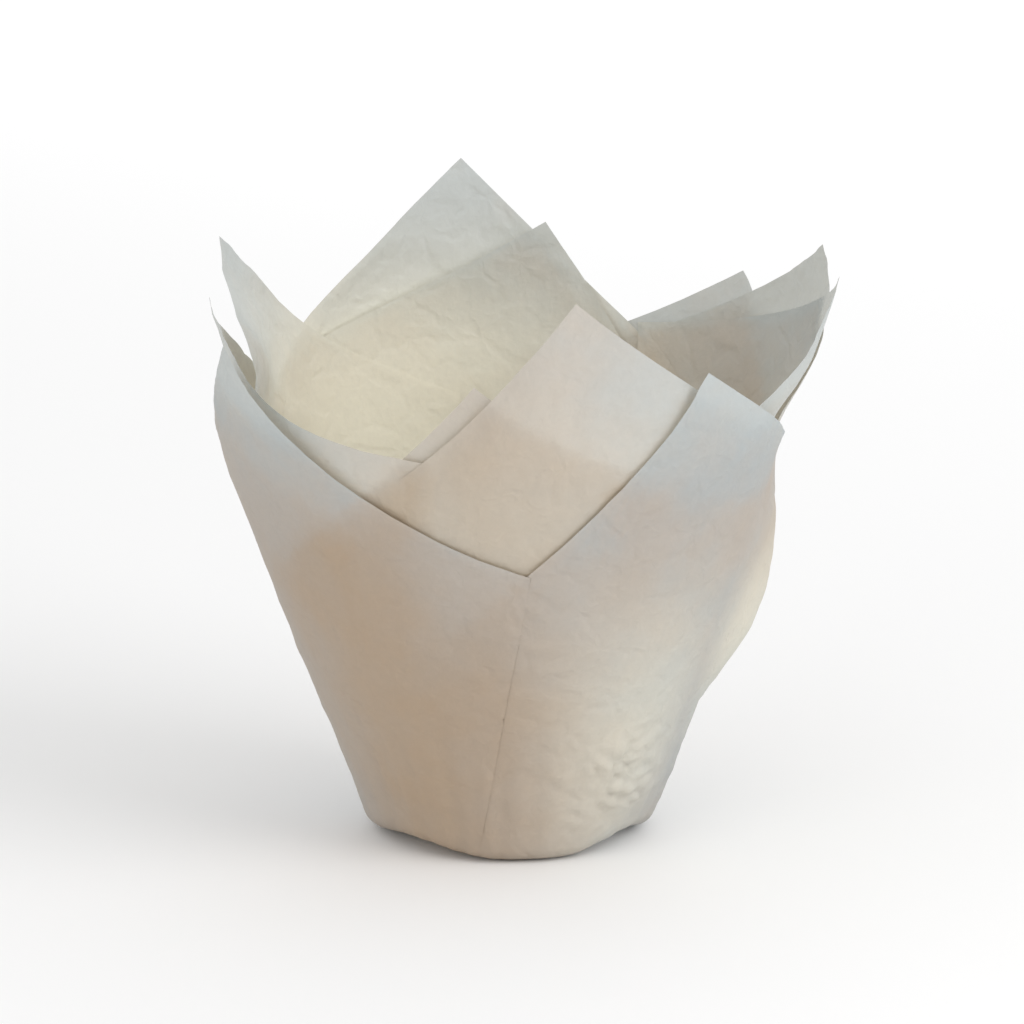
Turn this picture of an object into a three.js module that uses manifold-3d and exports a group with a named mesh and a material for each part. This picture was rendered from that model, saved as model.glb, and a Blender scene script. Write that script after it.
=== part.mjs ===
// Tulip baking cup: three square sheets of baking paper, pressed together over a round former.
// Each sheet is one continuous piece. Its middle is the round base, its four corners stand up as
// petals, and the spare paper between two petals lies in a Z-shaped pleat.
// Millimetres, +Z up. The origin is the middle of the base, on the table, and -Y is the front.
import * as THREE from 'three';
import { mergeVertices } from 'three/addons/utils/BufferGeometryUtils.js';
import Module from 'manifold-3d';

const wasm = await Module();
wasm.setup();

const RAD = Math.PI / 180;

// Paper and clearances
const PAPER = 0.3;
const PLEAT_RISE = 0.5;
const GAP_AT_BASE = 0.45;
const GAP_AT_RIM = 0.85;

// Form pressed by the former: round base, straight tapered wall, upright collar
const BASE_RADIUS = 23;
const BASE_ROUNDING = 4;
const WALL_TILT = 21 * RAD;
const WALL_HEIGHT = 67;
const COLLAR_BEND = 58;
const COLLAR_TILT = 4 * RAD;

// The collar stands further out on the right than on the left
const COLLAR_SPREAD = 4;
const COLLAR_SPREAD_AT = 10 * RAD;
const COLLAR_SPREAD_LENGTH = 30;

// Soft dents in the collar: where each lies, its half width round the wall, how deep it is, how far
// up the wall it lies, its half length, and the outermost sheet that it reaches
const DENTS = [
  { facing: -5, halfWidth: 35, depth: 3.4, up: 68, halfLength: 18, fromSheet: 0 },
  { facing: 172, halfWidth: 52, depth: 4.5, up: 74, halfLength: 22, fromSheet: 1 },
];

// Distances up the wall from its foot: the band in which the layers are pressed into one, how far
// the petals and pleats reach down into that band, and where the pleats are fully formed
const FOOT_BAND = 9;
const FOOT_LAP = 6;
const FOOT_SKIN = 0.05;
const PLEATS_FORMED = 36;

// The outer sheet's right-hand pleat stands off the wall like a small ear
const EAR_RISE = 3.6;
const EAR_UP = 39;
const EAR_HALF_LENGTH = 18;
const EAR_SHARE_OF_PETAL = 0.5;

// The squares' side. A square doesn't lie quite centred, so each of its corners is a share of half
// its diagonal away from the middle of the base
const SHEET_SIDE = 170;

// A petal's tip may lean out of the collar's line, over the upper part of the petal
const LEAN_LENGTH = 21;

// Each sheet from the outside in: how far the square is turned, and for each corner the direction
// in which its petal stands, its share, and how far its tip leans outwards
const SHEETS = [
  {
    name: 'outer_sheet',
    colour: 0xcfcac2,
    turn: 32,
    corners: [
      { facing: 43, share: 0.936, lean: -0.6 },
      { facing: 113, share: 0.870, lean: 0 },
      { facing: 199, share: 0.932, lean: 0 },
      { facing: 307.5, share: 0.967, lean: 0 },
    ],
    ears: [3],
  },
  {
    name: 'middle_sheet',
    colour: 0xd6d2ca,
    turn: 10,
    corners: [
      { facing: 20, share: 1.010, lean: 0.6 },
      { facing: 99, share: 1.056, lean: 0 },
      { facing: 180, share: 0.978, lean: 2.6 },
      { facing: 282, share: 1.077, lean: 0 },
    ],
    ears: [],
  },
  {
    name: 'inner_sheet',
    colour: 0xdedad2,
    turn: -7,
    corners: [
      { facing: 0, share: 1.013, lean: 2.6 },
      { facing: 82.5, share: 0.975, lean: 0 },
      { facing: 164, share: 1.030, lean: 3.4 },
      { facing: 263, share: 0.955, lean: 0 },
    ],
    ears: [],
  },
];

// Fineness of the facets
const LATHE_STEPS = 32;
const ROUNDING_STEPS = 3;
const PANEL_COLUMNS = 8;
const PLEAT_COLUMNS = 4;
const WALL_ROWS = 3;
const PETAL_ROWS = 5;
const BELOW_LOWEST_EDGE = 0.97;

const QUARTER = Math.PI / 2;
const HALF_DIAGONAL = SHEET_SIDE / Math.SQRT2;

function smooth(x) {
  const t = Math.min(Math.max(x, 0), 1);
  return t * t * (3 - 2 * t);
}

// Meridian of the former, by the distance s from the middle of the base along the paper
const turnOfRounding = QUARTER - WALL_TILT;
const flatRadius = BASE_RADIUS - BASE_ROUNDING * Math.tan(turnOfRounding / 2);
const roundingEnd = flatRadius + BASE_ROUNDING * turnOfRounding;
const wallStartHeight = BASE_ROUNDING * (1 - Math.cos(turnOfRounding));
const wallStartRadius = flatRadius + BASE_ROUNDING * Math.sin(turnOfRounding);
const wallEnd = roundingEnd + (WALL_HEIGHT - wallStartHeight) / Math.cos(WALL_TILT);
const wallEndRadius = wallStartRadius + (wallEnd - roundingEnd) * Math.sin(WALL_TILT);
const bendEnd = wallEnd + COLLAR_BEND * (WALL_TILT - COLLAR_TILT);
const footEnd = roundingEnd + FOOT_BAND;

// The wall is part of a cone, and its paper lies on it unstretched. This is how much further than
// from the middle of the base a place on the wall is from the cone's tip
const tipOfCone = wallStartRadius / Math.sin(WALL_TILT) - roundingEnd;

function meridian(s) {
  if (s <= flatRadius) {
    return { r: s, z: 0, tilt: QUARTER };
  }
  if (s <= roundingEnd) {
    const turned = (s - flatRadius) / BASE_ROUNDING;
    return {
      r: flatRadius + BASE_ROUNDING * Math.sin(turned),
      z: BASE_ROUNDING * (1 - Math.cos(turned)),
      tilt: QUARTER - turned,
    };
  }
  const alongWall = Math.min(s, wallEnd) - roundingEnd;
  const wall = {
    r: wallStartRadius + alongWall * Math.sin(WALL_TILT),
    z: wallStartHeight + alongWall * Math.cos(WALL_TILT),
    tilt: WALL_TILT,
  };
  if (s <= wallEnd) {
    return wall;
  }
  const tilt = WALL_TILT - (Math.min(s, bendEnd) - wallEnd) / COLLAR_BEND;
  const beyond = Math.max(s - bendEnd, 0);
  return {
    r: wallEndRadius + COLLAR_BEND * (Math.cos(tilt) - Math.cos(WALL_TILT)) + beyond * Math.sin(tilt),
    z: WALL_HEIGHT + COLLAR_BEND * (Math.sin(WALL_TILT) - Math.sin(tilt)) + beyond * Math.cos(tilt),
    tilt,
  };
}

// How far each layer of a pleat stands off the one under it, and the space between nested sheets
function pleatsFormed(s) {
  return smooth((s - roundingEnd) / PLEATS_FORMED);
}

function pleatRise(s) {
  return PLEAT_RISE * pleatsFormed(s);
}

function sheetPitch(s) {
  const gap = GAP_AT_BASE + (GAP_AT_RIM - GAP_AT_BASE) * pleatsFormed(s);
  return 2 * pleatRise(s) + PAPER + 2 * FOOT_SKIN + gap;
}

function hump(x) {
  return Math.abs(x) < 1 ? Math.cos((x * Math.PI) / 2) ** 2 : 0;
}

function dentAt(nest, azimuth, s) {
  let depth = 0;
  for (const dent of DENTS.filter(({ fromSheet }) => nest >= fromSheet)) {
    const around = angleBetween(dent.facing * RAD - Math.PI, azimuth) - Math.PI;
    const up = (s - roundingEnd - dent.up) / dent.halfLength;
    depth += dent.depth * hump(around / (dent.halfWidth * RAD)) * hump(up);
  }
  return depth;
}

// A point of sheet number nest, standing level millimetres outside the sheet's own inner layer
function pointOn(nest, azimuth, s, level) {
  const { r, z, tilt } = meridian(s);
  const out = level - nest * sheetPitch(s) - 2 * pleatRise(s);
  const spread = COLLAR_SPREAD * Math.cos(azimuth - COLLAR_SPREAD_AT) *
    smooth((s - wallEnd) / COLLAR_SPREAD_LENGTH);
  const radius = r + out * Math.cos(tilt) + spread - dentAt(nest, azimuth, s);
  const height = z - out * Math.sin(tilt) + PAPER / 2 + FOOT_SKIN;
  return new THREE.Vector3(radius * Math.cos(azimuth), radius * Math.sin(azimuth), height);
}

// A closed slab of paper from a grid of places, each with an azimuth, a distance s and a level
function slab(nest, places) {
  const rows = places.length;
  const columns = places[0].length;
  const positions = [];
  for (const side of [-PAPER / 2, PAPER / 2]) {
    for (const row of places) {
      for (const { azimuth, s, level } of row) {
        positions.push(...pointOn(nest, azimuth, s, level + side));
      }
    }
  }
  const faceStart = rows * columns;
  const inner = (row, column) => row * columns + column;
  const outer = (row, column) => faceStart + inner(row, column);
  const index = [];
  const quad = (a, b, c, d) => index.push(a, b, c, a, c, d);
  for (let row = 0; row < rows - 1; row++) {
    for (let column = 0; column < columns - 1; column++) {
      quad(outer(row, column), outer(row, column + 1), outer(row + 1, column + 1), outer(row + 1, column));
      quad(inner(row, column), inner(row + 1, column), inner(row + 1, column + 1), inner(row, column + 1));
    }
  }
  for (let column = 0; column < columns - 1; column++) {
    const top = rows - 1;
    quad(inner(0, column), inner(0, column + 1), outer(0, column + 1), outer(0, column));
    quad(outer(top, column), outer(top, column + 1), inner(top, column + 1), inner(top, column));
  }
  for (let row = 0; row < rows - 1; row++) {
    const last = columns - 1;
    quad(outer(row, 0), outer(row + 1, 0), inner(row + 1, 0), inner(row, 0));
    quad(inner(row, last), inner(row + 1, last), outer(row + 1, last), outer(row, last));
  }
  return toSolid(positions, index);
}

function toSolid(positions, index) {
  return new wasm.Manifold(new wasm.Mesh({
    numProp: 3,
    vertProperties: new Float32Array(positions),
    triVerts: new Uint32Array(index),
  }));
}

// The petals of a sheet, each with its flat direction on the square and its neighbours' places
function petalsOf(sheet) {
  const petals = sheet.corners.map((corner, k) => ({
    flat: (sheet.turn + 90 * k) * RAD,
    facing: corner.facing * RAD,
    reach: corner.share * HALF_DIAGONAL,
    lean: corner.lean,
    eared: sheet.ears.includes(k),
  }));
  petals.forEach((petal, k) => {
    petal.next = petals[(k + 1) % petals.length];
    petal.previous = petals[(k + petals.length - 1) % petals.length];
  });
  return petals;
}

// A petal turns from its flat direction to the way it faces as the wall rises
function directionAt(petal, s) {
  return petal.flat + (petal.facing - petal.flat) * pleatsFormed(s);
}

function angleBetween(from, to) {
  return (to - from + 2 * Math.PI) % (2 * Math.PI);
}

// Where the pleat between a petal and the next one lies at distance s: the pleat's middle, counted
// from the petal's own direction, and the width of the paper that is folded back there
function pleatAfter(petal, s) {
  const across = angleBetween(directionAt(petal, s), directionAt(petal.next, s));
  const { r } = meridian(s);
  const width = Math.max(QUARTER * s - across * r, 0) / 2;
  return { middle: across / 2, half: width / (2 * r) };
}

// Distance from the middle of the base to the cut edge of the square, where the paper on the wall
// is turned by angle from a petal's own line towards the next corner, or the one before if negative
function cutEdge(petal, angle) {
  const other = angle >= 0 ? petal.next : petal.previous;
  const turned = Math.abs(angle);
  return (1 + tipOfCone / petal.reach) /
    (Math.sin(turned) / other.reach + Math.cos(turned) / petal.reach) - tipOfCone;
}

// The distance at which a column of a petal, at offset(s) from its direction, is cut off
function edgeOf(petal, offset) {
  let edge = petal.reach;
  for (let pass = 0; pass < 40; pass++) {
    edge = cutEdge(petal, (offset(edge) * meridian(edge).r) / (edge + tipOfCone));
  }
  return edge;
}

function outerEdge(petal) {
  return edgeOf(petal, (s) => pleatAfter(petal, s).middle + pleatAfter(petal, s).half);
}

function innerEdge(petal) {
  return edgeOf(petal, (s) => -pleatAfter(petal.previous, s).middle - pleatAfter(petal.previous, s).half);
}

// The rows of one column of paper, from inside the foot band up to the cut edge
function columnOf(edge, low, placeAt) {
  const start = footEnd - FOOT_LAP;
  const rows = [];
  for (let row = 0; row <= WALL_ROWS; row++) {
    rows.push(start + (low - start) * (row / WALL_ROWS));
  }
  for (let row = 1; row <= PETAL_ROWS; row++) {
    rows.push(low + (edge - low) * (row / PETAL_ROWS));
  }
  return rows.map((s) => placeAt(s));
}

// The height up to which the rows of all columns are the same
function lowestEdge(petals) {
  return BELOW_LOWEST_EDGE * Math.min(...petals.map(outerEdge), ...petals.map(innerEdge));
}

// An ear lifts the petal's outer end off the wall, over a part of its height
function earLift(petal, s, towardsEnd) {
  if (!petal.eared) {
    return 0;
  }
  const along = Math.max(1 - ((s - roundingEnd - EAR_UP) / EAR_HALF_LENGTH) ** 2, 0);
  const across = Math.max(towardsEnd - 1 + EAR_SHARE_OF_PETAL, 0) / EAR_SHARE_OF_PETAL;
  return EAR_RISE * along * across ** 2;
}

function tipLean(petal, s) {
  return petal.lean * (Math.max(s - petal.reach + LEAN_LENGTH, 0) / LEAN_LENGTH) ** 2;
}

function transpose(columns) {
  return columns[0].map((_, row) => columns.map((column) => column[row]));
}

// A petal with the wall below it, from its start under the pleat before it to the outer fold of
// the pleat after it. Over both pleats its columns match theirs, and between them it rises by the
// pleat's two steps
function petalPanel(nest, petal, low) {
  const places = [];
  for (let column = 0; column <= PLEAT_COLUMNS; column++) {
    places.push({ side: -1, clear: 1, lapped: 1 - (2 * column) / PLEAT_COLUMNS, step: 0 });
  }
  for (let column = 1; column < PANEL_COLUMNS; column++) {
    const part = (2 * column) / PANEL_COLUMNS - 1;
    places.push({ side: Math.sign(part), clear: Math.abs(part), lapped: -Math.abs(part), step: (1 + part) / 2 });
  }
  for (let column = 0; column <= PLEAT_COLUMNS; column++) {
    places.push({ side: 1, clear: 1, lapped: (2 * column) / PLEAT_COLUMNS - 1, step: 1 });
  }
  return slab(nest, transpose(places.map((place) => {
    const offset = (s) => {
      const pleat = pleatAfter(place.side < 0 ? petal.previous : petal, s);
      return place.side * (pleat.middle * place.clear + pleat.half * place.lapped);
    };
    return columnOf(edgeOf(petal, offset), low, (s) => {
      const after = pleatAfter(petal, s);
      const ear = earLift(petal, s, offset(s) / (after.middle + after.half));
      return {
        azimuth: directionAt(petal, s) + offset(s),
        s,
        level: 2 * pleatRise(s) * place.step + ear + tipLean(petal, s),
      };
    });
  })));
}

// The paper of a pleat that runs back from a petal's outer fold to the start of the next petal,
// one step above that petal and one step below the outer fold's
function pleatPanel(nest, petal, low) {
  const columns = [];
  for (let column = 0; column <= PLEAT_COLUMNS; column++) {
    const w = column / PLEAT_COLUMNS;
    const steps = column === 0 ? 0 : column === PLEAT_COLUMNS ? 2 : 1;
    const edge = w * outerEdge(petal) + (1 - w) * innerEdge(petal.next);
    columns.push(columnOf(edge, low, (s) => {
      const pleat = pleatAfter(petal, s);
      return {
        azimuth: directionAt(petal, s) + pleat.middle + pleat.half * (2 * w - 1),
        s,
        level: steps * pleatRise(s) + w ** 3 * earLift(petal, s, 1),
      };
    }));
  }
  return slab(nest, transpose(columns));
}

// The base with its rounded edge and the foot of the wall, where the pleats are pressed together
function bowl(nest) {
  const stations = [0];
  for (let step = 0; step <= ROUNDING_STEPS; step++) {
    stations.push(flatRadius + ((roundingEnd - flatRadius) * step) / ROUNDING_STEPS);
  }
  stations.push(footEnd);
  const side = (s, level) => {
    const place = pointOn(nest, QUARTER, s, level);
    return new THREE.Vector2(s === 0 ? 0 : place.y, place.z);
  };
  const under = stations.map((s) => side(s, 2 * pleatRise(s) + PAPER / 2 + FOOT_SKIN));
  const over = stations.map((s) => side(s, -PAPER / 2 - FOOT_SKIN));
  const geometry = new THREE.LatheGeometry([...under, ...over.reverse()], LATHE_STEPS);
  geometry.rotateX(QUARTER);
  return solidOf(geometry);
}

function solidOf(geometry) {
  geometry.deleteAttribute('normal');
  geometry.deleteAttribute('uv');
  const merged = mergeVertices(geometry, 1e-5);
  return toSolid(merged.attributes.position.array, withoutSlivers(merged.index.array));
}

// Triangles that closed up on the axis are dropped
function withoutSlivers(index) {
  const kept = [];
  for (let i = 0; i < index.length; i += 3) {
    const [a, b, c] = [index[i], index[i + 1], index[i + 2]];
    if (a !== b && b !== c && c !== a) {
      kept.push(a, b, c);
    }
  }
  return kept;
}

function meshOf(name, solid, colour) {
  const { numProp, vertProperties, triVerts } = solid.getMesh();
  const geometry = new THREE.BufferGeometry();
  const positions = new Float32Array((vertProperties.length / numProp) * 3);
  for (let vertex = 0; vertex < positions.length / 3; vertex++) {
    for (let axis = 0; axis < 3; axis++) {
      positions[vertex * 3 + axis] = vertProperties[vertex * numProp + axis];
    }
  }
  geometry.setAttribute('position', new THREE.BufferAttribute(positions, 3));
  geometry.setIndex(new THREE.BufferAttribute(new Uint32Array(triVerts), 1));
  geometry.computeVertexNormals();
  const material = new THREE.MeshStandardMaterial({ color: colour, roughness: 0.75, metalness: 0 });
  const mesh = new THREE.Mesh(geometry, material);
  mesh.name = name;
  return mesh;
}

function foldedSheet(sheet, nest) {
  const petals = petalsOf(sheet);
  const low = lowestEdge(petals);
  let solid = bowl(nest);
  for (const petal of petals) {
    solid = solid.add(petalPanel(nest, petal, low)).add(pleatPanel(nest, petal, low));
  }
  return meshOf(sheet.name, solid, sheet.colour);
}

const cup = new THREE.Group();
SHEETS.forEach((sheet, nest) => cup.add(foldedSheet(sheet, nest)));

export default cup;
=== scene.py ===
"""Tulip baking cup: three nested square sheets of baking paper, pleated over a round base.

Sizes of the paper are in millimetres and turned into metres when a mesh is made. A place on a sheet is
given by its azimuth and by s, its distance from the middle of the base along the paper.
"""
import logging
import math
from dataclasses import dataclass, field
from enum import Enum
from typing import Callable

import bmesh
import bpy
import numpy as np
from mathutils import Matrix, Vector, noise


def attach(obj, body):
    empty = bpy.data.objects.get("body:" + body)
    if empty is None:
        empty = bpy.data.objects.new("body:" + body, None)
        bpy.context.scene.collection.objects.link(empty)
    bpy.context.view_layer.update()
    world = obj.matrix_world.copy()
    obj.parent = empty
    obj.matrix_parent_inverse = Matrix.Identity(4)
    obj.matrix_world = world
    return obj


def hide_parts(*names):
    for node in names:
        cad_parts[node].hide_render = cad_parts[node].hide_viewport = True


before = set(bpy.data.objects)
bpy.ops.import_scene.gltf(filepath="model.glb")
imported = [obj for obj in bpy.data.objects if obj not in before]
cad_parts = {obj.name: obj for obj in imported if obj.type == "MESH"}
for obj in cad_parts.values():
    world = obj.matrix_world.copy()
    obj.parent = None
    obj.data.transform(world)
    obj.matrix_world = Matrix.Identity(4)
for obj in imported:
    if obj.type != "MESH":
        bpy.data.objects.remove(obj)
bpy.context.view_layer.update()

MM = 0.001
TURN = 2 * math.pi
QUARTER = math.pi / 2
CORNERS = 4
INNERMOST = 2
NOISE_MIDDLE = 0.5
EDGE_ROUNDS = 40
LEAST_WIDTH = 1e-6
WELD_DISTANCE = 2e-6
SHARP_FOLD = math.radians(55)
WHITE = (1.0, 1.0, 1.0, 1.0)
LOG = logging.getLogger("tulip_cup")


class Side(Enum):
    """The two ways round from a petal."""

    BEFORE = -1
    AFTER = 1


def smooth(x: np.ndarray) -> np.ndarray:
    """Ease from 0 to 1 as x goes from 0 to 1.

    Args:
        x: Values, also outside 0 to 1.

    Returns:
        The eased values.
    """
    t = np.clip(x, 0.0, 1.0)
    return t * t * (3 - 2 * t)


def hump(x: np.ndarray) -> np.ndarray:
    """Rise from 0 at -1 to 1 at 0 and fall to 0 at 1.

    Args:
        x: Values, also outside -1 to 1.

    Returns:
        The height of the hump at each value.
    """
    return np.where(np.abs(x) < 1, np.cos(np.clip(x, -1, 1) * math.pi / 2) ** 2, 0.0)


def wrapped(angle: np.ndarray) -> np.ndarray:
    """Bring angles into the turn from -pi to pi.

    Args:
        angle: Angles in radians.

    Returns:
        The same angles within that turn.
    """
    return (angle + math.pi) % TURN - math.pi


def colour(red: float, green: float, blue: float) -> tuple[float, float, float, float]:
    """Turn a colour as seen, 0 to 255, into the linear values that a shader takes.

    Args:
        red: Red, 0 to 255.
        green: Green, 0 to 255.
        blue: Blue, 0 to 255.

    Returns:
        Linear red, green and blue, and an alpha of 1.
    """
    linear = []
    for value in (red, green, blue):
        part = value / 255
        linear.append(part / 12.92 if part <= 0.04045 else ((part + 0.055) / 1.055) ** 2.4)
    return (linear[0], linear[1], linear[2], 1.0)


class Signal:
    """A socket in a shader graph, with Python's operators adding Math nodes to a number."""

    def __init__(self, graph: "Graph", socket: bpy.types.NodeSocket) -> None:
        """Wrap an output socket of graph."""
        self.graph = graph
        self.socket = socket

    def maths(self, operation: str, *others: "Signal | float") -> "Signal":
        """Add one Math node whose first value is this signal.

        Args:
            operation: The Math node's operation.
            others: Its further values.

        Returns:
            The node's result.
        """
        values = {0: self}
        values.update({index + 1: other for index, other in enumerate(others)})
        return self.graph.node("ShaderNodeMath", {"operation": operation}, values)

    def __add__(self, other: "Signal | float") -> "Signal":
        """Sum of this and other."""
        return self.maths("ADD", other)

    __radd__ = __add__

    def __mul__(self, other: "Signal | float") -> "Signal":
        """Product of this and other."""
        return self.maths("MULTIPLY", other)

    __rmul__ = __mul__

    def __sub__(self, other: "Signal | float") -> "Signal":
        """This less other."""
        return self.maths("SUBTRACT", other)

    def __rsub__(self, other: float) -> "Signal":
        """Other less this."""
        return self.maths("MULTIPLY", -1.0) + other

    def clamped(self) -> "Signal":
        """This kept between 0 and 1."""
        return self.maths("MAXIMUM", 0.0).maths("MINIMUM", 1.0)

    def ramp(self, low: float, high: float) -> "Signal":
        """Ease from 0 to 1 between low and high.

        Args:
            low: Where the ramp starts.
            high: Where it ends.

        Returns:
            The eased value.
        """
        settings = {"interpolation_type": "SMOOTHSTEP"}
        return self.graph.node("ShaderNodeMapRange", settings, {0: self, 1: low, 2: high})


class Graph:
    """The node tree of a material or of the world."""

    def __init__(self, owner: "bpy.types.Material | bpy.types.World") -> None:
        """Empty the node tree of owner."""
        self.owner = owner
        owner.use_nodes = True
        self.tree = owner.node_tree
        self.tree.nodes.clear()

    def node(self, kind: str, settings: dict, values: dict, output: int | str = 0) -> Signal:
        """Add one node.

        Args:
            kind: The node's type.
            settings: Its properties, set before its sockets.
            values: Input sockets, by name or index, with a value or a Signal each.
            output: The output socket to return.

        Returns:
            The chosen output.
        """
        made = self.tree.nodes.new(kind)
        for key, setting in settings.items():
            setattr(made, key, setting)
        for key, value in values.items():
            if isinstance(value, Signal):
                self.tree.links.new(value.socket, made.inputs[key])
            else:
                made.inputs[key].default_value = value
        return Signal(self, made.outputs[output])

    def mixed(self, factor: "Signal | float", low: "Signal | tuple", high: "Signal | tuple") -> Signal:
        """Mix two colours.

        Args:
            factor: 0 for low, 1 for high.
            low: The first colour.
            high: The second colour.

        Returns:
            The mixed colour.
        """
        settings = {"data_type": "RGBA"}
        return self.node("ShaderNodeMix", settings, {0: factor, 6: low, 7: high}, output=2)

    def attribute(self, name: str) -> Signal:
        """Read a number stored on the mesh under name."""
        return self.node("ShaderNodeAttribute", {"attribute_name": name}, {}, output="Fac")

    def finish(self, surface: Signal, kind: str = "ShaderNodeOutputMaterial") -> bpy.types.ID:
        """Join surface to the output node.

        Args:
            surface: The finished shader.
            kind: The output node's type.

        Returns:
            The material or world.
        """
        made = self.tree.nodes.new(kind)
        self.tree.links.new(surface.socket, made.inputs["Surface"])
        return self.owner


@dataclass(frozen=True)
class GreaseproofPaper:
    """Thin translucent baking paper: cooler where it lies single, warmer and darker where layers lie
    behind it, with painted shade and painted light read from the mesh.

    Clouds make it unevenly thick, fibres are its grain and crinkles its finest creases.
    """

    name: str
    single: tuple = colour(183, 191, 194)
    double: tuple = colour(192, 185, 177)
    # Warm dark tone of many layers behind, with painted shade in it.
    stacked_and_shaded: tuple = colour(188, 167, 144)
    # Cream of painted light, for the lit hollow of the cup, the ear and the crumpled patch.
    painted_light_cream: tuple = colour(255, 250, 229)
    glow: tuple = colour(226, 218, 200)
    passes: float = 0.22
    sheen: float = 0.3
    roughness: float = 0.6
    roughness_change: float = 0.2
    double_gain: float = 2.8
    stacked_gain: float = 1.55
    stacked_from: float = 0.55
    cloud_scale: float = 55.0
    cloud_thickness: float = 0.6
    cloud_shade: float = 0.10
    cloud_relief: float = 0.8
    fibre_scale: float = 900.0
    fibre_shade: float = 0.16
    fibre_relief: float = 0.35
    crinkle_scale: float = 150.0
    crinkle_width: float = 0.25
    crinkle_relief: float = 0.5
    bend_scale: float = 120.0
    bend: float = 0.012
    relief_strength: float = 0.5
    relief_height: float = 0.0004

    def material(self) -> bpy.types.Material:
        """Build the paper's shader.

        Returns:
            The material.
        """
        graph = Graph(bpy.data.materials.new(self.name))
        place = graph.node("ShaderNodeTexCoord", {}, {}, output="Object")
        cloud = self.grain(graph, place, self.cloud_scale, detail=4.0, roughness=0.6)
        fibre = self.grain(graph, place, self.fibre_scale, detail=5.0, roughness=0.7)
        bump = self.relief(graph, place, cloud, fibre)
        paper = graph.node(
            "ShaderNodeBsdfPrincipled", {},
            {
                "Base Color": self.tint(graph, cloud, fibre),
                "Roughness": (fibre - NOISE_MIDDLE) * self.roughness_change + self.roughness,
                "Specular IOR Level": self.sheen,
                "Normal": bump,
            })
        through = graph.node("ShaderNodeBsdfTranslucent", {}, {"Color": self.glow, "Normal": bump})
        return graph.finish(graph.node("ShaderNodeMixShader", {}, {0: self.passes, 1: paper, 2: through}))

    def grain(self, graph: Graph, place: Signal, scale: float, detail: float, roughness: float) -> Signal:
        """Add one noise.

        Args:
            graph: The material's graph.
            place: Object coordinates.
            scale: How fine the noise is.
            detail: How many finer noises it adds.
            roughness: How strong those are.

        Returns:
            The noise's value.
        """
        values = {"Vector": place, "Scale": scale, "Detail": detail, "Roughness": roughness}
        return graph.node("ShaderNodeTexNoise", {}, values)

    def tint(self, graph: Graph, cloud: Signal, fibre: Signal) -> Signal:
        """Colour the paper by the layers behind it, by the painted shade and by the painted light stored
        on the mesh.

        Args:
            graph: The material's graph.
            cloud: Noise of how thick the paper is.
            fibre: Noise of its grain.

        Returns:
            The paper's colour.
        """
        clouds = cloud - NOISE_MIDDLE
        # The value stored on the mesh holds the layers behind and painted shade; the clouds add how
        # unevenly thick the paper is.
        layers_thickness_and_shade = (graph.attribute("layers_and_painted_shade") + clouds * self.cloud_thickness).clamped()
        base = graph.mixed((layers_thickness_and_shade * self.double_gain).clamped(), self.single, self.double)
        stacked_and_shaded = (layers_thickness_and_shade * self.stacked_gain - self.stacked_from).clamped()
        base = graph.mixed(stacked_and_shaded, base, self.stacked_and_shaded)
        # Painted light: mix towards cream by the share stored on the mesh.
        base = graph.mixed(graph.attribute("painted_light_share"), base, self.painted_light_cream)
        speck = (fibre - NOISE_MIDDLE) * self.fibre_shade + clouds * self.cloud_shade
        return graph.node("ShaderNodeHueSaturation", {}, {"Value": speck + 1.0, "Color": base})

    def relief(self, graph: Graph, place: Signal, cloud: Signal, fibre: Signal) -> Signal:
        """Give the paper its fine relief.

        Args:
            graph: The material's graph.
            place: Object coordinates.
            cloud: Noise of how thick the paper is.
            fibre: Noise of its grain.

        Returns:
            The bumped normal.
        """
        crinkle = graph.node(
            "ShaderNodeTexVoronoi", {"feature": "DISTANCE_TO_EDGE"},
            {"Vector": self.warped(graph, place), "Scale": self.crinkle_scale})
        creases = crinkle.ramp(0.0, self.crinkle_width) * self.crinkle_relief
        height = fibre * self.fibre_relief + creases + cloud * self.cloud_relief
        values = {"Strength": self.relief_strength, "Distance": self.relief_height, "Height": height}
        return graph.node("ShaderNodeBump", {}, values)

    def warped(self, graph: Graph, place: Signal) -> Signal:
        """Bend the places of the crinkles so that they don't look like cells.

        Args:
            graph: The material's graph.
            place: Object coordinates.

        Returns:
            The bent places.
        """
        values = {"Vector": place, "Scale": self.bend_scale, "Detail": 3.0}
        bent = graph.node("ShaderNodeTexNoise", {}, values, output="Color")
        scaled = graph.node("ShaderNodeVectorMath", {"operation": "SCALE"}, {0: bent, "Scale": self.bend})
        return graph.node("ShaderNodeVectorMath", {"operation": "ADD"}, {0: place, 1: scaled})


@dataclass(frozen=True)
class Dent:
    """A soft dent in the collar, in degrees and mm, and the outermost sheet that it reaches."""

    facing: float
    half_width: float
    depth: float
    up: float
    half_length: float
    from_sheet: int

    def at(self, azimuth: np.ndarray, up: np.ndarray) -> np.ndarray:
        """Depth of the dent.

        Args:
            azimuth: Azimuths round the wall.
            up: Distances up the wall from its foot.

        Returns:
            How far each place is pressed inwards.
        """
        around = wrapped(azimuth - math.radians(self.facing)) / math.radians(self.half_width)
        return self.depth * hump(around) * hump((up - self.up) / self.half_length)


@dataclass(frozen=True)
class Press:
    """A side on which the base's edge is pressed up: facing in degrees, half width in radians."""

    facing: float
    half_width: float
    rise: float

    def at(self, azimuth: np.ndarray) -> np.ndarray:
        """How far the edge is pressed up at each azimuth."""
        return self.rise * hump(wrapped(azimuth - math.radians(self.facing)) / self.half_width)


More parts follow.
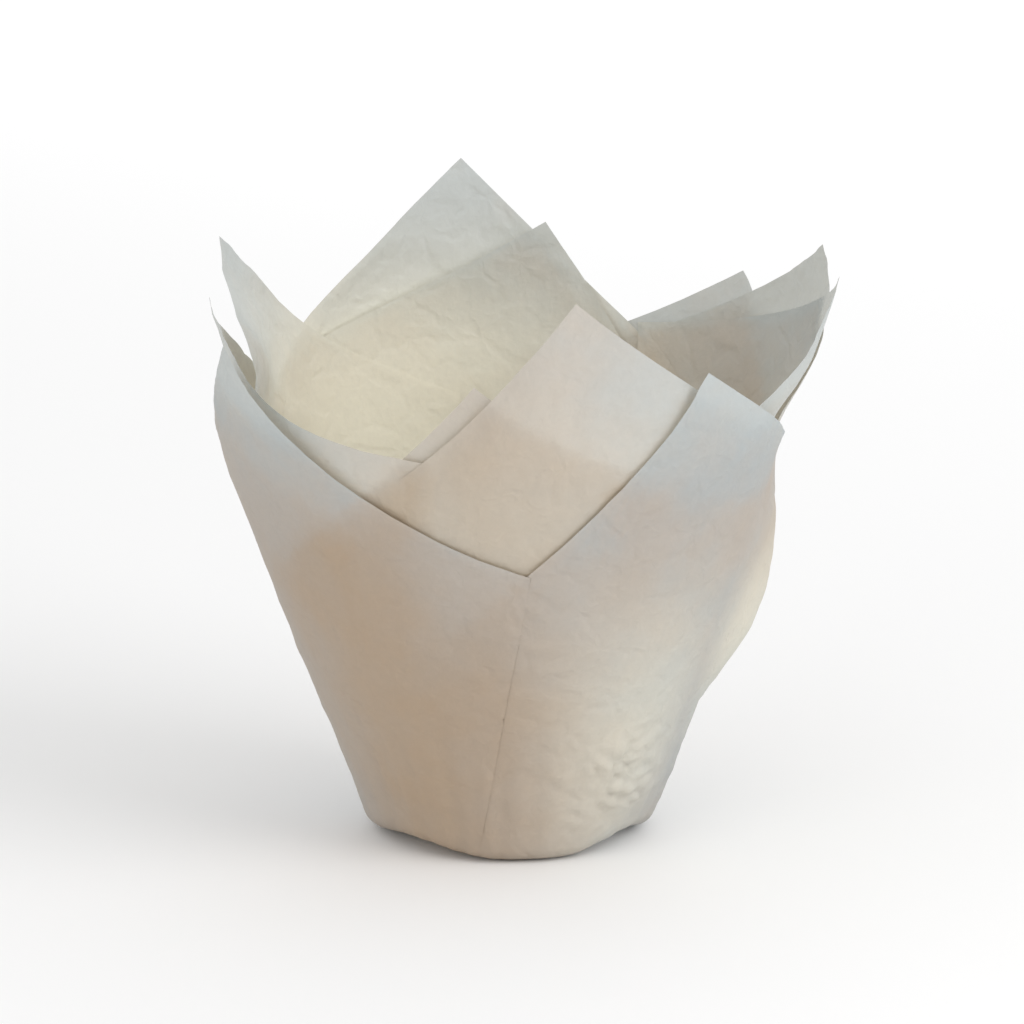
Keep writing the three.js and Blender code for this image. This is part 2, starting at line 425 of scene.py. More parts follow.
@dataclass(frozen=True)
class Former:
    """The round former's shape, as a line up its side by the distance s along the paper."""

    base_radius: float = 23.0
    rounding: float = 4.0
    wall_tilt: float = math.radians(21)
    wall_height: float = 67.0
    collar_bend: float = 58.0
    collar_tilt: float = math.radians(4)
    spread: float = 4.0
    spread_at: float = math.radians(10)
    spread_length: float = 30.0
    pleats_formed: float = 36.0
    laps_open: float = 12.0
    lift_from: float = 11.0
    lift_length: float = 9.0
    lift_fades: float = 23.0
    lift_fade_length: float = 15.0
    presses: tuple = (
        Press(facing=222, half_width=0.8, rise=2.0),
        Press(facing=328, half_width=0.65, rise=2.2),
    )
    dents: tuple = (
        Dent(facing=-5, half_width=35, depth=3.1, up=68, half_length=17, from_sheet=0),
        Dent(facing=172, half_width=52, depth=4.5, up=74, half_length=22, from_sheet=1),
        Dent(facing=180, half_width=34, depth=2.6, up=80, half_length=17, from_sheet=2),
        Dent(facing=190, half_width=60, depth=-0.35, up=44, half_length=34, from_sheet=0),
    )

    @property
    def turned(self) -> float:
        """Angle that the rounded edge turns through."""
        return QUARTER - self.wall_tilt

    @property
    def flat_radius(self) -> float:
        """Radius of the flat base."""
        return self.base_radius - self.rounding * math.tan(self.turned / 2)

    @property
    def rounding_end(self) -> float:
        """Distance s at which the straight wall starts."""
        return self.flat_radius + self.rounding * self.turned

    @property
    def wall_end(self) -> float:
        """Distance s at which the wall turns upright."""
        foot = self.rounding * (1 - math.cos(self.turned))
        return self.rounding_end + (self.wall_height - foot) / math.cos(self.wall_tilt)

    @property
    def cone_tip(self) -> float:
        """How much further a place on the wall is from the cone's tip than from the base's middle."""
        start = self.flat_radius + self.rounding * math.sin(self.turned)
        return start / math.sin(self.wall_tilt) - self.rounding_end

    def formed(self, s: np.ndarray) -> np.ndarray:
        """How far the pleats are formed at s, from 0 at the foot to 1."""
        return smooth((s - self.rounding_end) / self.pleats_formed)

    def lapped(self, s: np.ndarray) -> np.ndarray:
        """How far the layers of a pleat stand apart at s, from 0 on the flat base to 1."""
        return smooth((s - self.flat_radius) / self.laps_open)

    def foot_lifted(self, azimuth: np.ndarray, s: np.ndarray) -> np.ndarray:
        """Press the base's edge up from the table at the front left and the front right.

        Args:
            azimuth: Azimuth of each point.
            s: Distance of each point along the paper.

        Returns:
            How far each point is lifted.
        """
        pressed = sum(press.at(azimuth) for press in self.presses)
        grown = smooth((s - self.lift_from) / self.lift_length)
        return pressed * grown * (1 - smooth((s - self.lift_fades) / self.lift_fade_length))

    def dented(self, nest: int, azimuth: np.ndarray, s: np.ndarray) -> np.ndarray:
        """Press the paper inwards at the dents.

        Args:
            nest: The sheet's number, 0 for the outermost.
            azimuth: Azimuth of each point.
            s: Distance of each point along the paper.

        Returns:
            How far each point is pressed inwards.
        """
        reached = [dent for dent in self.dents if nest >= dent.from_sheet]
        return sum(dent.at(azimuth, s - self.rounding_end) for dent in reached)

    def meridian(self, s: np.ndarray) -> tuple[np.ndarray, np.ndarray, np.ndarray]:
        """The line up the side.

        Args:
            s: Distances from the middle of the base along the paper.

        Returns:
            Radius, height and tilt from upright at each distance.
        """
        flat = np.minimum(s, self.flat_radius)
        turned = np.clip((s - self.flat_radius) / self.rounding, 0, self.turned)
        along = np.clip(s, self.rounding_end, self.wall_end) - self.rounding_end
        bend_end = self.wall_end + self.collar_bend * (self.wall_tilt - self.collar_tilt)
        bent = self.wall_tilt - (np.clip(s, self.wall_end, bend_end) - self.wall_end) / self.collar_bend
        beyond = np.maximum(s - bend_end, 0)
        r = (flat + self.rounding * np.sin(turned) + along * math.sin(self.wall_tilt)
             + self.collar_bend * (np.cos(bent) - math.cos(self.wall_tilt)) + beyond * np.sin(bent))
        z = (self.rounding * (1 - np.cos(turned)) + along * math.cos(self.wall_tilt)
             + self.collar_bend * (math.sin(self.wall_tilt) - np.sin(bent)) + beyond * np.cos(bent))
        tilt = QUARTER - turned - (self.wall_tilt - bent)
        return r, z, tilt


@dataclass(frozen=True)
class Crinkles:
    """Waves, dents, creases and gathers of the paper, and its crumpled patch at the foot.

    Each noise has a size and a depth in mm. The gathers are short waves round the foot.
    """

    wave_size: float = 22.0
    wave_depth: float = 0.5
    dent_size: float = 7.0
    dent_depth: float = 0.35
    dent_shift: tuple = (31.0, 0.0, 0.0)
    crease_size: float = 2.6
    crease_depth: float = 0.14
    crease_shift: tuple = (0.0, 17.0, 0.0)
    pucker_size: float = 3.0
    pucker_depth: float = 0.35
    ridge_across: float = 0.35
    ridge_deep: float = 0.3
    ridge_up: float = 0.16
    ridge_slant: float = 0.2
    ridge_turn: float = 0.1
    start_length: float = 12.0
    free_from: float = 85.0
    free_length: float = 30.0
    free_gain: float = 0.5
    gather_depth: float = 0.28
    gathers: float = 23.0
    swing: float = 4.0
    swings: float = 3.0
    groups: float = 11.0
    group_phase: float = 1.0
    gather_length: float = 5.0
    gather_fades: float = 34.0
    gather_fade_length: float = 24.0
    crumple_at: float = math.radians(309)
    crumple_depth: float = 1.9
    crumple_half_width: float = 0.6
    crumple_up: float = 38.0
    crumple_half_length: float = 18.0

    def noises(self, x: float, y: float, s: float) -> tuple[float, float]:
        """Noise at one point of the paper.

        Args:
            x: The point's place across the undented former.
            y: Its place from front to back.
            s: Its distance along the paper.

        Returns:
            How far it moves outwards as any point, and for a depth of 1 in the crumpled patch.
        """
        place = Vector((x, y, s))
        waves = noise.noise(place / self.wave_size)
        dents = abs(noise.noise(place / self.dent_size + Vector(self.dent_shift)))
        creases = abs(noise.noise(place / self.crease_size + Vector(self.crease_shift)))
        handled = self.wave_depth * waves - self.dent_depth * dents - self.crease_depth * creases
        ridge = Vector((
            x * self.ridge_across + s * self.ridge_slant,
            y * self.ridge_deep,
            s * self.ridge_up - x * self.ridge_turn))
        puckers = abs(noise.noise(place / self.pucker_size)) * self.pucker_depth
        return handled, abs(noise.noise(ridge)) - puckers

    def moved(self, former: Former, azimuth: np.ndarray, s: np.ndarray) -> np.ndarray:
        """Crinkle the paper, alike on all sheets where they lie together.

        Args:
            former: The former that the sheet is folded over.
            azimuth: Azimuth of each point.
            s: Distance of each point along the paper.

        Returns:
            How far each point moves outwards.
        """
        r = former.meridian(s)[0]
        points = zip((r * np.cos(azimuth)).ravel(), (r * np.sin(azimuth)).ravel(), s.ravel())
        found = np.array([self.noises(*point) for point in points])
        handled = found[:, 0].reshape(s.shape)
        crumpled = found[:, 1].reshape(s.shape)
        beyond_base = s - former.flat_radius
        free = smooth((s - self.free_from) / self.free_length)
        grown = smooth(beyond_base / self.start_length) + self.free_gain * free
        swung = azimuth * self.gathers + self.swing * np.sin(azimuth * self.swings)
        grouped = np.sin(azimuth * self.groups + self.group_phase)
        gathers = self.gather_depth * np.sin(swung) * grouped * smooth(beyond_base / self.gather_length)
        gathers = gathers * (1 - smooth((s - self.gather_fades) / self.gather_fade_length))
        around = wrapped(azimuth - self.crumple_at) / self.crumple_half_width
        up = (s - self.crumple_up) / self.crumple_half_length
        crumple = self.crumple_depth * crumpled * hump(around) * hump(up)
        return handled * grown + gathers + crumple


@dataclass(frozen=True)
class Petal:
    """One corner of a sheet: the way it faces in degrees, its share of half the diagonal, its lean.

    The cut edges leave the corner at angles of after and before from the petal's own line. From its
    start to its end the petal lies on these layers of the pleats: 0 is the innermost, 1 the outermost.
    """

    facing: float
    share: float
    lean: float
    after: float
    before: float
    eared: bool = False
    starts: float = 0.0
    ends: float = 1.0


@dataclass(frozen=True)
class Ear:
    """A pleat of the outer sheet that stands off the wall."""

    rise: float = 4.8
    up: float = 39.0
    half_length: float = 18.0
    share_of_petal: float = 0.5


@dataclass(frozen=True)
class Fineness:
    """How finely a sheet's mesh is divided."""

    base_rings: int = 9
    rounding_rows: int = 8
    wall_rows: int = 58
    petal_rows: int = 40
    below_edge: float = 0.97
    lap_columns: int = 12
    clear_columns: int = 56


@dataclass(frozen=True)
class LayersAndShade:
    """How much the layers behind the paper warm and darken its look, and where painted shade and painted
    light lie. Angles are in radians.
    """

    blur: float = 0.09
    inner_blur: float = 0.045
    samples: int = 5
    blur_up: float = 40.0
    each_layer: float = 0.19
    most: float = 0.9
    # Painted shade is deepest at this azimuth, the front left; the inner gain paints shade on the inner
    # sheets towards the front, the outer loss paints light on the outer sheet's lit front right, and the
    # foot values paint shade round the foot.
    most_shaded: float = math.radians(243)
    inner_gain: float = 0.42
    inner_turn: float = 0.4
    outer_loss: float = 0.6
    outer_turn: float = 1.3
    foot_least: float = 0.15
    foot_gain: float = 0.8
    foot_half_width: float = 1.5
    foot_end: float = 48.0
    foot_fade: float = 46.0


@dataclass(frozen=True)
class PaintedLightSpot:
    """A soft patch of painted light on the wall, with its half width in radians and its half length in mm.
    """

    strength: float
    half_width: float
    up: float
    half_length: float

    def at(self, around: np.ndarray, s: np.ndarray) -> np.ndarray:
        """Strength at angles around from the patch's middle and at distances s."""
        across = wrapped(around) / self.half_width
        return self.strength * hump(across) * hump((s - self.up) / self.half_length)


@dataclass(frozen=True)
class PaintedLight:
    """Painted light: where the paper is painted cream as if lit, deep in the cup, at the ear and round the
    crumpled patch.
    """

    facing: float = math.radians(120)
    half_width: float = 1.6
    least: float = 0.2
    gain: float = 0.8
    fades: float = 82.0
    fade_length: float = 44.0
    ear: PaintedLightSpot = PaintedLightSpot(strength=0.5, half_width=0.7, up=60, half_length=30)
    foot: PaintedLightSpot = PaintedLightSpot(strength=0.4, half_width=0.75, up=46, half_length=44)


@dataclass(frozen=True)
class Column:
    """One line of a sheet's points: its petal, its angle and level along s, and where it is cut."""

    petal: int
    offset: Callable[[np.ndarray], np.ndarray]
    edge: float
    level: Callable[[np.ndarray], np.ndarray]


@dataclass
class FoldedSheet:
    """One square sheet, folded over the former into a base, four petals and four pleats."""

    name: str
    node: str
    slot: str
    nest: int
    turn: float
    petals: list[Petal]
    finish: GreaseproofPaper
    former: Former = field(default_factory=Former)
    ear: Ear = field(default_factory=Ear)
    fineness: Fineness = field(default_factory=Fineness)
    crinkles: Crinkles = field(default_factory=Crinkles)
    layers_and_shade: LayersAndShade = field(default_factory=LayersAndShade)
    cream: PaintedLight = field(default_factory=PaintedLight)
    side: float = 170.0
    rise: float = 0.14
    gap_at_base: float = 0.45
    gap_at_rim: float = 1.5
    lean_length: float = 21.0
    settle: float = 0.9
    settle_length: float = 12.0
    settle_below: float = 4.0
    settle_grows: float = 14.0
    fold_share: float = 0.12
    paper: float = 0.3
    skin: float = 0.05

    def reach(self, k: int) -> float:
        """Distance from the middle of the base to corner k, along the paper."""
        return self.petals[k % CORNERS].share * self.side / math.sqrt(2)

    def direction(self, k: int, s: np.ndarray) -> np.ndarray:
        """Turn petal k from its direction on the flat sheet to the way it faces.

        Args:
            k: The petal's number.
            s: Distances along the paper.

        Returns:
            The petal's azimuth at each distance.
        """
        flat = math.radians(self.turn + 90 * k)
        facing = math.radians(self.petals[k % CORNERS].facing + 360 * (k // CORNERS))
        facing += TURN * round((flat - facing) / TURN)
        return flat + (facing - flat) * self.former.formed(s)

    def pleat_after(self, k: int, s: np.ndarray) -> tuple[np.ndarray, np.ndarray]:
        """The pleat between petal k and the next.

        Args:
            k: The petal's number.
            s: Distances along the paper.

        Returns:
            The pleat's middle, counted from petal k's direction, and half its width, as angles.
        """
        across = self.direction(k + 1, s) - self.direction(k, s)
        r = self.former.meridian(s)[0]
        width = np.maximum(QUARTER * s - across * r, 0) / 2
        return across / 2, width / (2 * r)

    def cut_edge(self, k: int, angle: np.ndarray) -> np.ndarray:
        """Distance from the middle of the base to the cut edge, for paper that lies unstretched.

        Args:
            k: The petal's number.
            angle: How far the paper is turned from the petal's own line towards the next corner.

        Returns:
            The distance along the paper.
        """
        petal = self.petals[k % CORNERS]
        leaves = np.radians(np.where(angle >= 0, petal.after, petal.before))
        tip = self.former.cone_tip
        return (self.reach(k) + tip) * np.sin(leaves) / np.sin(leaves + np.abs(angle)) - tip

    def edge_of(self, k: int, offset: Callable[[np.ndarray], np.ndarray]) -> float:
        """Find where one column of the paper is cut off.

        Args:
            k: The petal's number.
            offset: The column's angle from petal k's direction at distances s.

        Returns:
            The distance along the paper.
        """
        edge = np.array(self.reach(k))
        for _ in range(EDGE_ROUNDS):
            turned = offset(edge) * self.former.meridian(edge)[0] / (edge + self.former.cone_tip)
            edge = self.cut_edge(k, turned)
        return float(edge)

    def outer_edge(self, k: int) -> float:
        """The cut edge at petal k's outer fold."""
        return self.edge_of(k, lambda s: sum(self.pleat_after(k, s)))

    def inner_edge(self, k: int) -> float:
        """The cut edge at petal k's inner start."""
        return self.edge_of(k, lambda s: -sum(self.pleat_after(k - 1, s)))

    def lowest_edge(self) -> float:
        """Distance s up to which all columns share their rows, just below the lowest cut edge."""
        edges = [edge(k) for k in range(CORNERS) for edge in (self.outer_edge, self.inner_edge)]
        return self.fineness.below_edge * min(edges)

    def lifted(self, k: int, s: np.ndarray, towards_end: np.ndarray) -> np.ndarray:
        """Lift the outer end of an eared petal off the wall.

        Args:
            k: The petal's number.
            s: Distances along the paper.
            towards_end: 0 on the petal's line to 1 at its outer fold.

        Returns:
            How far each point is lifted, 0 on a petal without an ear.
        """
        if not self.petals[k % CORNERS].eared:
            return np.zeros(np.broadcast(s, towards_end).shape)
        up = s - self.former.rounding_end - self.ear.up
        along = np.maximum(1 - (up / self.ear.half_length) ** 2, 0)
        across = np.maximum(towards_end - 1 + self.ear.share_of_petal, 0) / self.ear.share_of_petal
        return self.ear.rise * along * across ** 2

    def settled(self, s: np.ndarray, edge: float, corner: float) -> np.ndarray:
        """Lay the paper beside a cut edge down on the next sheet, away from the corner.

        Args:
            s: Distances along the paper.
            edge: The column's cut edge.
            corner: The distance to the corner of its petal.

        Returns:
            How far each point moves inwards, 0 on the innermost sheet.
        """
        if self.nest == INNERMOST:
            return np.zeros_like(s)
        near_edge = smooth((s - edge) / self.settle_length + 1)
        from_corner = smooth((corner - edge - self.settle_below) / self.settle_grows)
        return self.settle * near_edge * from_corner

    def leaned(self, k: int, s: np.ndarray) -> np.ndarray:
        """How far petal k stands out of the collar's line at s."""
        above = np.maximum(s - self.reach(k) + self.lean_length, 0) / self.lean_length
        return self.petals[k % CORNERS].lean * above ** 2

    def pitch(self, s: np.ndarray) -> np.ndarray:
        """Distance between two nested sheets at s."""
        gap = self.gap_at_base + (self.gap_at_rim - self.gap_at_base) * self.former.formed(s)
        return 2 * self.rise * self.former.formed(s) + gap

    def petal_columns(self, k: int) -> list[Column]:
        """Divide petal k from its inner start, round its middle, to its outer fold.

        Args:
            k: The petal's number.

        Returns:
            The petal's columns.
        """
        laps = self.fineness.lap_columns
        clear = self.fineness.clear_columns
        places = [(Side.BEFORE, 1.0, 1 - 2 * lap / laps, 0.0) for lap in range(laps + 1)]
        for column in range(1, clear):
            part = 2 * column / clear - 1
            side = Side.BEFORE if part < 0 else Side.AFTER
            places.append((side, abs(part), -abs(part), (1 + part) / 2))
        places += [(Side.AFTER, 1.0, 2 * lap / laps - 1, 1.0) for lap in range(laps + 1)]
        return [self.petal_column(k, *place) for place in places]

    def petal_column(self, k: int, side: Side, clear: float, lapped: float, step: float) -> Column:
        """One column of petal k.

        Args:
            k: The petal's number.
            side: Which pleat the column is measured from.
            clear: Share of the pleat's middle angle.
            lapped: Share of the pleat's half width.
            step: 0 at the petal's inner start, 1 at its outer fold.

        Returns:
            The column.
        """
        def offset(s: np.ndarray) -> np.ndarray:
            """Angle from the petal's direction."""
            middle, half = self.pleat_after(k if side is Side.AFTER else k - 1, s)
            return side.value * (middle * clear + half * lapped)

        petal = self.petals[k % CORNERS]
        height = petal.starts + (petal.ends - petal.starts) * step

        def level(s: np.ndarray) -> np.ndarray:
            """Distance outside the sheet's innermost layer."""
            middle, half = self.pleat_after(k, s)
            ear = self.lifted(k, s, offset(s) / (middle + half))
            lap = 2 * self.rise * self.former.lapped(s) * height
            return lap + ear + self.leaned(k, s) - self.settled(s, edge, self.reach(k))

        edge = self.edge_of(k, offset)
        return Column(k, offset, edge, level)

    def pleat_columns(self, k: int) -> list[Column]:
        """The columns of the pleat after petal k, from its outer fold back to the next petal."""
        laps = self.fineness.lap_columns
        return [self.pleat_column(k, 1 - column / laps) for column in range(1, laps)]

    def pleat_column(self, k: int, w: float) -> Column:
        """One column of the paper that is folded back.

        Args:
            k: The petal whose outer fold the pleat starts from.
            w: 1 at that fold and 0 at the start of the next petal.

        Returns:
            The column.
        """
        low = float(smooth(np.array(w / self.fold_share)))
        high = float(smooth(np.array((w - (1 - self.fold_share)) / self.fold_share)))
        steps = 0.5 * low + 0.5 * high
        steps = self.petals[k % CORNERS].ends * steps + self.petals[(k + 1) % CORNERS].starts * (1 - steps)

        def offset(s: np.ndarray) -> np.ndarray:
            """Angle from the petal's direction."""
            middle, half = self.pleat_after(k, s)
            return middle + half * (2 * w - 1)

        def level(s: np.ndarray) -> np.ndarray:
            """Distance outside the sheet's innermost layer."""
            ear = self.lifted(k, s, np.ones_like(s))
            down = self.settled(s, edge, corner)
            return 2 * self.rise * self.former.lapped(s) * steps + w ** 3 * ear - down

        edge = w * self.outer_edge(k) + (1 - w) * self.inner_edge(k + 1)
        corner = w * self.reach(k) + (1 - w) * self.reach(k + 1)
        return Column(k, offset, edge, level)

    def columns(self) -> list[Column]:
        """Divide the sheet once round.

        Returns:
            All columns, in order of the paper.
        """
        columns = []
        for k in range(CORNERS):
            columns += self.petal_columns(k)
            columns += self.pleat_columns(k)
        return columns

    def rows(self, edge: float, lowest: float) -> np.ndarray:
        """Divide one column, from near the middle of the base to its cut edge.

        Args:
            edge: The column's cut edge.
            lowest: Where the rows that all columns share end.

        Returns:
            The distances s of its points.
        """
        fine = self.fineness
        former = self.former
        base = np.linspace(0, former.flat_radius, fine.base_rings + 1)[1:]
        rounding = np.linspace(former.flat_radius, former.rounding_end, fine.rounding_rows + 1)[1:]
        wall = np.linspace(former.rounding_end, lowest, fine.wall_rows + 1)[1:]
        petal = np.linspace(lowest, edge, fine.petal_rows + 1)[1:]
        return np.concatenate([base, rounding, wall, petal])

    def layers_and_painted_shade(self, azimuth: np.ndarray, s: np.ndarray, sheets: list["FoldedSheet"]) -> np.ndarray:
        """How warm and dark the paper looks: the layers behind it, and painted shade and painted light by
        azimuth and at the foot.

        Args:
            azimuth: Azimuths.
            s: Distances along the paper.
            sheets: All sheets of the cup.

        Returns:
            0 where the paper lies single and lit to 1 where it lies thickest and most shaded.
        """
        layers_and_shade = self.layers_and_shade
        blur = layers_and_shade.inner_blur if self.nest else layers_and_shade.blur
        shifts = np.linspace(-blur, blur, layers_and_shade.samples)
        counts = sum(
            sheet.layers(azimuth + shift, s + layers_and_shade.blur_up * abs(shift))
            for sheet in sheets for shift in shifts)
        free = np.clip((counts / len(shifts) - 1) * layers_and_shade.each_layer, 0, layers_and_shade.most)
        from_most_shaded = azimuth - layers_and_shade.most_shaded
        # Painted shade on the inner sheets towards the front; painted light on the outer sheet's lit front
        # right.
        if self.nest:
            free = free + layers_and_shade.inner_gain * hump(wrapped(from_most_shaded - layers_and_shade.inner_turn))
        else:
            free = free * (1 - layers_and_shade.outer_loss * hump(wrapped(from_most_shaded - layers_and_shade.outer_turn)))
        # Painted shade round the foot, darkest at the front left.
        low = layers_and_shade.foot_least + layers_and_shade.foot_gain * hump(wrapped(from_most_shaded) / layers_and_shade.foot_half_width)
        part = smooth((s - layers_and_shade.foot_end) / layers_and_shade.foot_fade)
        return low * (1 - part) + free * part

    def lit(self, azimuth: np.ndarray, s: np.ndarray) -> np.ndarray:
        """How far the paper is painted cream as painted light.

        Args:
            azimuth: Azimuths.
            s: Distances along the paper.

        Returns:
            0 for the paper's own colour to 1 for the cream of painted light.
        """
        cream = self.cream
        # Painted light deep in the cup on the inner sheets; on the outer sheet at the ear and round the
        # crumpled patch.
        if self.nest:
            deep = 1 - smooth((s - cream.fades) / cream.fade_length)
            around = wrapped(azimuth - cream.facing) / cream.half_width
            return deep * (cream.least + cream.gain * hump(around))
        foot = cream.foot.at(azimuth - self.crinkles.crumple_at, s)
        return np.maximum(cream.ear.at(azimuth, s), foot)

    def layers(self, azimuth: np.ndarray, s: np.ndarray) -> np.ndarray:
        """How many layers of this sheet lie at each place of the wall.

        Args:
            azimuth: Azimuths.
            s: Distances along the paper.

        Returns:
            The count of layers, 0 above the cut edge.
        """
        count = np.zeros_like(s)
        s = np.maximum(s, self.former.flat_radius)
        r = self.former.meridian(s)[0]
        for k in range(CORNERS):
            offset = wrapped(azimuth - self.direction(k, s))
            after, half_after = self.pleat_after(k, s)
            before, half_before = self.pleat_after(k - 1, s)
            on_petal = (offset < after + half_after) & (offset > -before - half_before)
            count += on_petal & (s < self.cut_edge(k, offset * r / (s + self.former.cone_tip)))
            w = ((offset - after) / np.maximum(half_after, LEAST_WIDTH) + 1) / 2
            edge = w * self.outer_edge(k) + (1 - w) * self.inner_edge(k + 1)
            count += (w > 0) & (w < 1) & (s < edge)
        return count

    def build(self, sheets: list["FoldedSheet"]) -> bpy.types.Object:
        """Make the sheet's mesh and dress it.

        Args:
            sheets: All sheets of the cup, whose layers show through one another.

        Returns:
            The sheet's object.
        """
        azimuth, s, level = self.grid()
        made = self.mesh(self.places(azimuth, s, level))
        shape = made.data
        # Stored on the mesh: the layers behind with painted shade, and the share of painted light.
        looks = {"layers_and_painted_shade": self.layers_and_painted_shade(azimuth, s, sheets), "painted_light_share": self.lit(azimuth, s)}
        for name, look in looks.items():
            values = look.ravel()
            attribute = shape.attributes.new(name, "FLOAT", "POINT")
            attribute.data.foreach_set("value", np.append(values, values[0]).astype(float))
        self.weld(shape)
        shape.materials.append(self.finish.material())
        shape.shade_smooth()
        shape.set_sharp_from_angle(angle=SHARP_FOLD)
        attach(made, "root")
        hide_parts(self.node)
        return made

    def grid(self) -> tuple[np.ndarray, np.ndarray, np.ndarray]:
        """Place every point on the paper, with a row for each column.

        Returns:
            Azimuth, distance s and level of every point.
        """
        azimuths = []
        distances = []
        levels = []
        lowest = self.lowest_edge()
        for column in self.columns():
            s = self.rows(column.edge, lowest)
            azimuths.append(self.direction(column.petal, s) + column.offset(s))
            distances.append(s)
            levels.append(column.level(s))
        return np.array(azimuths), np.array(distances), np.array(levels)

    def places(self, azimuth: np.ndarray, s: np.ndarray, level: np.ndarray) -> np.ndarray:
        """Points of the paper in metres.

        Args:
            azimuth: Azimuth of each point.
            s: Distance of each point along the paper.
            level: Distance outside the sheet's innermost layer.

        Returns:
            An array of points.
        """
        former = self.former
        r, z, tilt = former.meridian(s)
        out = level - self.nest * self.pitch(s) - 2 * self.rise * former.lapped(s)
        out = out + self.crinkles.moved(former, azimuth, s)
        risen = smooth((s - former.wall_end) / former.spread_length)
        spread = former.spread * np.cos(azimuth - former.spread_at) * risen
        radius = r + out * np.cos(tilt) + spread - former.dented(self.nest, azimuth, s)
        height = z - out * np.sin(tilt) + self.paper / 2 + self.skin + former.foot_lifted(azimuth, s)
        return np.stack([radius * np.cos(azimuth), radius * np.sin(azimuth), height], axis=-1) * MM

    def mesh(self, places: np.ndarray) -> bpy.types.Object:
        """Make the grid of places, closed round the axis, into an object.

        Args:
            places: Points in metres, with a row for each column of the paper.

        Returns:
            The object.
        """
        columns, rows = places.shape[:2]
        vertices = [tuple(point) for point in places.reshape(-1, 3)]
        middle = len(vertices)
        vertices.append((0.0, 0.0, float(places[:, 0, 2].mean())))
        faces = []
        for column in range(columns):
            here = column * rows
            there = ((column + 1) % columns) * rows
            faces.append((middle, here, there))
            for row in range(rows - 1):
                faces.append((here + row, here + row + 1, there + row + 1, there + row))
        shape = bpy.data.meshes.new(self.name)
        shape.from_pydata(vertices, [], faces)
        made = bpy.data.objects.new(self.name, shape)
        bpy.context.scene.collection.objects.link(made)
        return made

    def weld(self, shape: bpy.types.Mesh) -> None:
        """Join the points that lie on one another where the pleats have no width yet.

        Args:
            shape: The sheet's mesh.
        """
        work = bmesh.new()
        work.from_mesh(shape)
        bmesh.ops.remove_doubles(work, verts=work.verts, dist=WELD_DISTANCE)
        bmesh.ops.recalc_face_normals(work, faces=work.faces)
        work.to_mesh(shape)
        work.free()


class Cup:
    """The three sheets, from the outside in."""

    def __init__(self) -> None:
        """Set each sheet's turn and its petals' places."""
        self.sheets = [
            FoldedSheet(
                "outer_paper", "outer_sheet", "outer_paper", 0, 32,
                [Petal(45, 0.933, 0.7, 58, 48), Petal(116, 0.870, 0.0, 50, 45),
                 Petal(209, 0.962, 3.6, 46, 42, ends=0.4), Petal(307, 0.958, -1.0, 55, 33, eared=True)],
                GreaseproofPaper("outer_greaseproof")),
            FoldedSheet(
                "middle_paper", "middle_sheet", "middle_paper", 1, 10,
                [Petal(19, 1.012, -0.8, 54.5, 48), Petal(99, 1.067, 1.1, 50, 44),
                 Petal(185, 0.985, 2.2, 62, 45, ends=0.0), Petal(282, 1.067, -0.6, 51, 40, starts=1.0)],
                GreaseproofPaper("middle_greaseproof")),
            FoldedSheet(
                "inner_paper", "inner_sheet", "inner_paper", 2, -7,
                [Petal(-2.5, 1.007, 0.8, 61, 57), Petal(83, 0.980, -1.3, 61, 35),
                 Petal(164, 1.033, 3.4, 50, 47), Petal(263, 0.946, -0.3, 57, 42)],
                GreaseproofPaper("inner_greaseproof")),
        ]

    def build(self) -> None:
        """Build every sheet."""
        for sheet in self.sheets:
            made = sheet.build(self.sheets)
            LOG.info("%s: %d faces", made.name, len(made.data.polygons))


@dataclass(frozen=True)
class Lamp:
    """A soft square lamp that faces the cup: its place and width in metres, its power in watts."""

    name: str
    place: tuple
    size: float
    watts: float


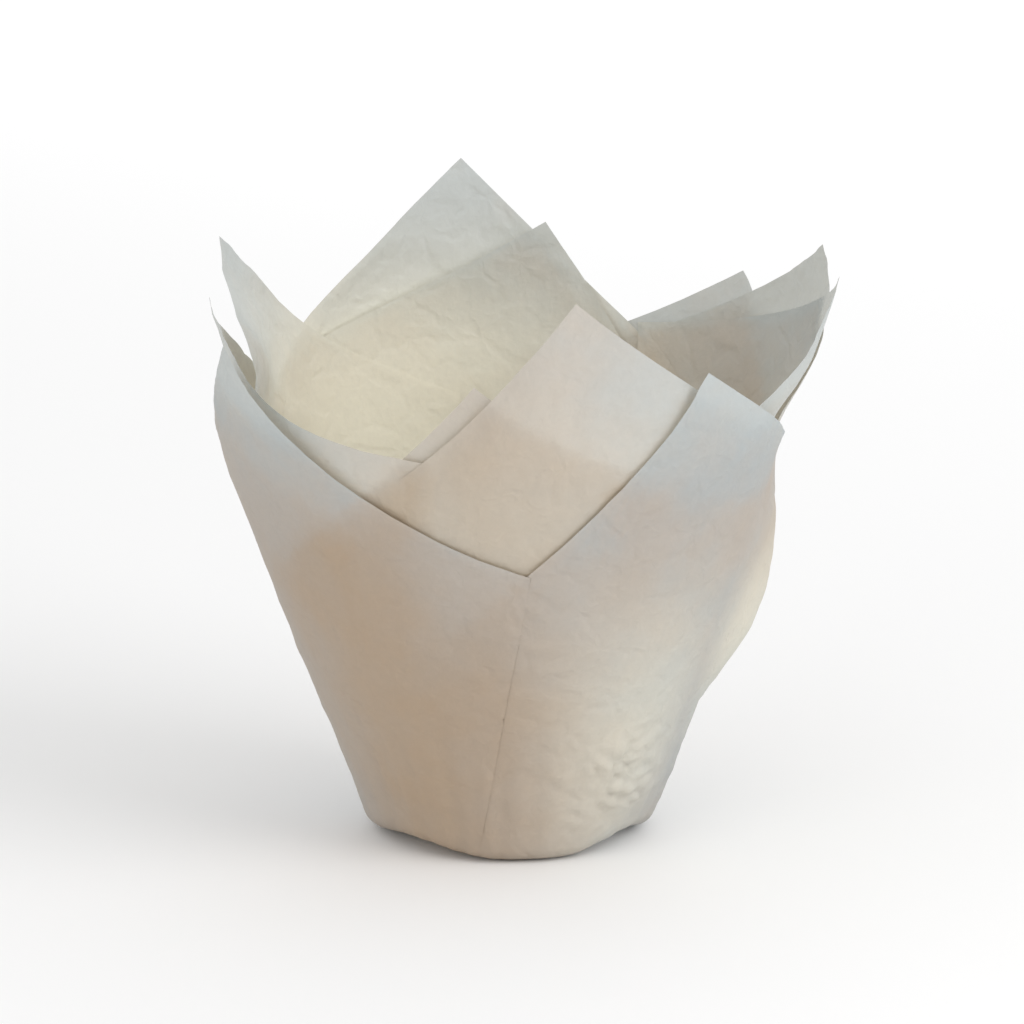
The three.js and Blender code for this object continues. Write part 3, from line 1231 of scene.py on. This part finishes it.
@dataclass(frozen=True)
class Studio:
    """Pale floor, soft lamps and the camera, in metres."""

    elevation: float = math.radians(15)
    distance: float = 2.0
    sight: float = 20.0
    frame_width: float = 0.1681
    aim: tuple = (0.00033, 0.0, 0.0535)
    sensor: float = 36.0
    floor_size: float = 3.0
    floor_shade: float = 0.93
    room_light: float = 0.8
    lamps: tuple = (
        Lamp("key", (0.75, -0.45, 0.55), 0.7, 4.2),
        Lamp("fill", (-0.5, -0.8, 0.25), 0.7, 1.4),
        Lamp("back", (0.1, 0.8, 0.3), 0.5, 1.0),
    )

    def build(self) -> None:
        """Build the floor, the world, the lamps and the camera."""
        self.floor()
        self.world()
        for lamp in self.lamps:
            self.lamp(lamp)
        self.camera()

    def floor(self) -> None:
        """Make the floor."""
        bpy.ops.mesh.primitive_plane_add(size=self.floor_size)
        floor = bpy.context.object
        floor.name = "floor"
        graph = Graph(bpy.data.materials.new("pale_floor"))
        shade = (self.floor_shade, self.floor_shade, self.floor_shade, 1.0)
        surface = graph.node("ShaderNodeBsdfDiffuse", {}, {"Color": shade})
        floor.data.materials.append(graph.finish(surface))

    def world(self) -> None:
        """Make the soft light from all round, seen as plain white by the camera and in gloss."""
        world = bpy.data.worlds.new("soft_room")
        bpy.context.scene.world = world
        graph = Graph(world)
        camera = graph.node("ShaderNodeLightPath", {}, {}, output="Is Camera Ray")
        glossy = graph.node("ShaderNodeLightPath", {}, {}, output="Is Glossy Ray")
        soft = graph.node("ShaderNodeBackground", {}, {"Color": WHITE, "Strength": self.room_light})
        white = graph.node("ShaderNodeBackground", {}, {"Color": WHITE, "Strength": 1.0})
        values = {0: camera.maths("MAXIMUM", glossy), 1: soft, 2: white}
        graph.finish(graph.node("ShaderNodeMixShader", {}, values), "ShaderNodeOutputWorld")

    def lamp(self, lamp: Lamp) -> None:
        """Add one lamp.

        Args:
            lamp: Its name, place, size and power.
        """
        light = bpy.data.lights.new(lamp.name, "AREA")
        light.size = lamp.size
        light.energy = lamp.watts
        stand = bpy.data.objects.new(lamp.name, light)
        stand.location = lamp.place
        stand.rotation_euler = (Vector(self.aim) - Vector(lamp.place)).to_track_quat("-Z", "Y").to_euler()
        bpy.context.scene.collection.objects.link(stand)

    def camera(self) -> None:
        """Add the camera at the photograph's angle."""
        data = bpy.data.cameras.new("camera")
        data.sensor_width = self.sensor
        data.lens = self.sensor * self.distance / self.frame_width
        data.clip_end = self.sight
        camera = bpy.data.objects.new("camera", data)
        aim = Vector(self.aim)
        back = Vector((0.0, -math.cos(self.elevation), math.sin(self.elevation)))
        camera.location = aim + back * self.distance
        camera.rotation_euler = (-back).to_track_quat("-Z", "Y").to_euler()
        bpy.context.scene.collection.objects.link(camera)
        bpy.context.scene.camera = camera


def main() -> None:
    """Build the cup and the studio."""
    logging.basicConfig(level=logging.INFO)
    bpy.context.scene.view_settings.view_transform = "Standard"
    Cup().build()
    Studio().build()


if __name__ == "__main__":
    main()
